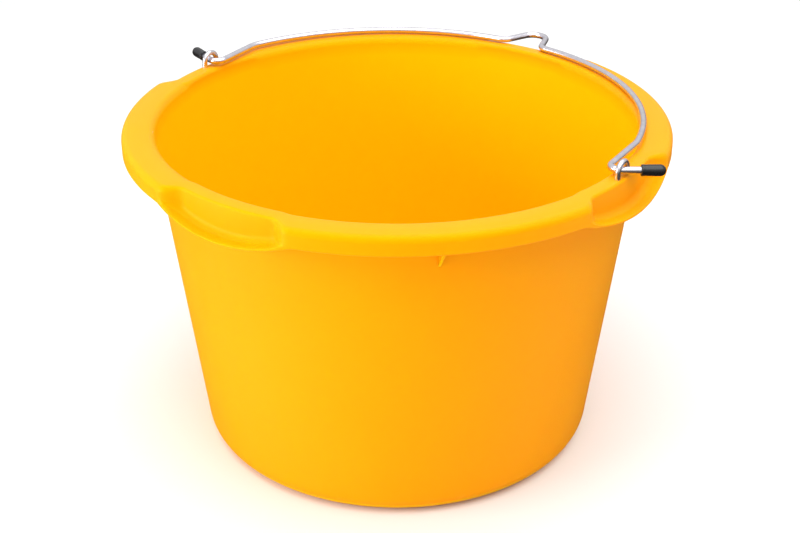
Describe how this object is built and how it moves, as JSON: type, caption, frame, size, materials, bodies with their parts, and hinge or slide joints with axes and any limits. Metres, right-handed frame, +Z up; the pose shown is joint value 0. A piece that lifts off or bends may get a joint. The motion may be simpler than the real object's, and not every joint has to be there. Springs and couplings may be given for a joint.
{
  "type": "mortar bucket",
  "caption": "Round tapered plastic mortar bucket with a deep rim, four hand recesses in the rim and a swinging galvanised wire bail.",
  "frame": {"origin": "centre of the tub's footprint, in the plane the bucket stands on", "axes": "+Z up along the tub's axis; +X towards the right eyelet along the hinge line; +Y towards the side the bail lies on at rest"},
  "size_m": [0.4224, 0.416, 0.2633],
  "materials": {
    "tub": "satin moulded yellow plastic",
    "bail": "galvanised wire",
    "eyelets": "galvanised wire",
    "end_caps": "soft black vinyl"
  },
  "bodies": {
    "tub_body": {"tub": "tub", "eyelet_right": "eyelets", "eyelet_left": "eyelets"},
    "bail_body": {"bail": "bail", "end_cap_right": "end_caps", "end_cap_left": "end_caps"}
  },
  "joints": [
    {"name": "bail_swing", "type": "hinge", "parent": "tub_body", "child": "bail_body", "pos_m": [0, 0, 0.2552], "axis": [1, 0, 0], "range_deg": [0, 180.8]}
  ]
}
